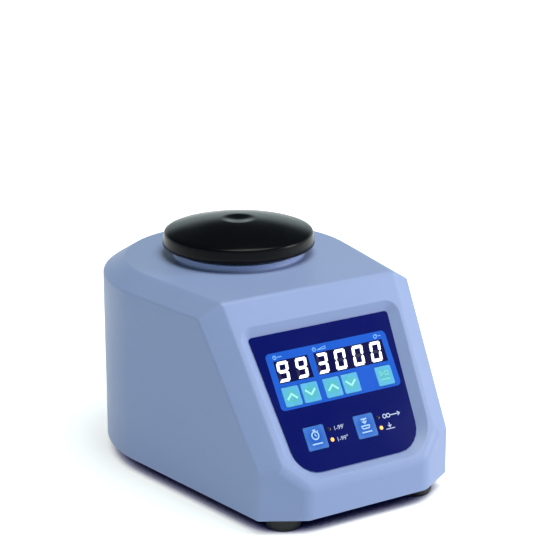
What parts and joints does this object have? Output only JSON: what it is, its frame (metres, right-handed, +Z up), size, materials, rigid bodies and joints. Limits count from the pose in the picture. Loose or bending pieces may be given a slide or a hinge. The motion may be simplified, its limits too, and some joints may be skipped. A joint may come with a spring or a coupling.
{
  "type": "vortex mixer",
  "caption": "Digital vortex mixer: tapered housing, sloped keypad with displays, and a sprung motor carriage whose rubber head circles when a tube is pressed on it.",
  "frame": {"origin": "centre of the bounding box, at the bottom of the feet", "axes": "+Z up, the control panel faces -Y, +X is the right-hand side as seen from the front"},
  "size_m": [0.1572, 0.2136, 0.1372],
  "materials": {
    "housing_plastic": "satin",
    "base_plastic": "matte",
    "black_rubber": "satin",
    "navy_film": "satin",
    "blue_film": "satin",
    "window_plastic": "gloss",
    "white_segments": "lit",
    "cyan_key": "satin",
    "blue_key": "satin",
    "lit_lamp": "lit",
    "dark_lamp": "gloss",
    "circuit_board": "satin",
    "black_moulding": "matte",
    "steel": "zinc plated",
    "cast_iron": "painted",
    "aluminium": "machined",
    "copper_winding": "varnished wire",
    "nylon": "natural",
    "wire_insulation": "PVC",
    "blue_capacitor": "sleeved"
  },
  "bodies": {
    "housing": {"upper_housing": "housing_plastic", "base_plate": "base_plastic", "base_screws": "steel", "rubber_feet": "black_rubber", "foot_screws": "steel", "ballast_plate": "cast_iron", "panel_film": "navy_film", "display_field": "blue_film", "time_window": "window_plastic", "speed_window": "window_plastic", "time_digits": "white_segments", "speed_digits": "white_segments", "time_display": "black_moulding", "speed_display": "black_moulding", "lamps_lit": "lit_lamp", "lamps_unlit": "dark_lamp", "control_board": "circuit_board", "tact_switches": "black_moulding", "board_chips": "black_moulding", "board_screws": "steel", "guide_posts": "steel", "post_nuts": "steel", "touch_switch": "black_moulding", "touch_bracket": "steel", "touch_screws": "steel", "driver_board": "circuit_board", "driver_parts": "blue_capacitor", "driver_standoffs": "nylon", "driver_screws": "steel", "power_inlet": "black_moulding", "inlet_nut": "steel", "power_switch": "black_moulding", "wiring": "wire_insulation"},
    "carriage": {"motor_plate": "aluminium", "guide_bushes": "nylon", "carriage_springs": "steel", "motor_can": "steel", "motor_end_bell": "aluminium", "motor_screws": "steel", "stator": "copper_winding", "motor_bearings": "steel"},
    "rotor": {"rotor_core": "steel", "motor_shaft": "steel", "eccentric_hub": "steel", "hub_set_screw": "steel"},
    "shaker_head": {"head_core": "aluminium", "rubber_platform": "black_rubber", "head_boot": "black_rubber", "crank_bearings": "steel"},
    "touch_lever": {"touch_lever": "steel"},
    "rocker": {"power_rocker": "black_moulding"},
    "key_time_up_body": {"key_time_up": "cyan_key"},
    "key_time_down_body": {"key_time_down": "cyan_key"},
    "key_speed_up_body": {"key_speed_up": "cyan_key"},
    "key_speed_down_body": {"key_speed_down": "cyan_key"},
    "key_start_stop_body": {"key_start_stop": "cyan_key"},
    "key_time_unit_body": {"key_time_unit": "blue_key"},
    "key_mode_body": {"key_mode": "blue_key"}
  },
  "joints": [
    {"name": "head_press", "type": "slide", "parent": "housing", "child": "carriage", "axis": [0, 0, 1], "range_m": [-0.0015, 0], "stiffness_N_per_m": 5000, "springref_m": 0.0035, "deforming": ["carriage_springs"]},
    {"name": "motor_spin", "type": "hinge", "parent": "carriage", "child": "rotor", "pos_m": [0, 0.0282, 0.09], "axis": [0, 0, 1], "continuous": true},
    {"name": "head_orbit", "type": "hinge", "parent": "rotor", "child": "shaker_head", "pos_m": [0.00119, 0.03011, 0.11], "axis": [0, 0, 1], "continuous": true},
    {"name": "touch_lever_tilt", "type": "hinge", "parent": "housing", "child": "touch_lever", "pos_m": [0.008, -0.0118, 0.0795], "axis": [0, 1, 0], "range_deg": [-5, 0]},
    {"name": "power_rocker_tilt", "type": "hinge", "parent": "housing", "child": "rocker", "pos_m": [0.011, 0.1017, 0.034], "axis": [0, 0, 1], "range_deg": [0, 18]},
    {"name": "key_time_up_press", "type": "slide", "parent": "housing", "child": "key_time_up_body", "axis": [0, 0.8339, -0.5519], "range_m": [0, 0.0004], "stiffness_N_per_m": 1500, "springref_m": -0.0003},
    {"name": "key_time_down_press", "type": "slide", "parent": "housing", "child": "key_time_down_body", "axis": [0, 0.8339, -0.5519], "range_m": [0, 0.0004], "stiffness_N_per_m": 1500, "springref_m": -0.0003},
    {"name": "key_speed_up_press", "type": "slide", "parent": "housing", "child": "key_speed_up_body", "axis": [0, 0.8339, -0.5519], "range_m": [0, 0.0004], "stiffness_N_per_m": 1500, "springref_m": -0.0003},
    {"name": "key_speed_down_press", "type": "slide", "parent": "housing", "child": "key_speed_down_body", "axis": [0, 0.8339, -0.5519], "range_m": [0, 0.0004], "stiffness_N_per_m": 1500, "springref_m": -0.0003},
    {"name": "key_start_stop_press", "type": "slide", "parent": "housing", "child": "key_start_stop_body", "axis": [0, 0.8339, -0.5519], "range_m": [0, 0.0004], "stiffness_N_per_m": 1500, "springref_m": -0.0003},
    {"name": "key_time_unit_press", "type": "slide", "parent": "housing", "child": "key_time_unit_body", "axis": [0, 0.8339, -0.5519], "range_m": [0, 0.0004], "stiffness_N_per_m": 1500, "springref_m": -0.0003},
    {"name": "key_mode_press", "type": "slide", "parent": "housing", "child": "key_mode_body", "axis": [0, 0.8339, -0.5519], "range_m": [0, 0.0004], "stiffness_N_per_m": 1500, "springref_m": -0.0003}
  ],
  "couplings": [
    {"joint": "head_orbit", "follows": "motor_spin", "ratio": -1},
    {"joint": "touch_lever_tilt", "follows": "head_press", "rad_per_m": 55.5}
  ]
}
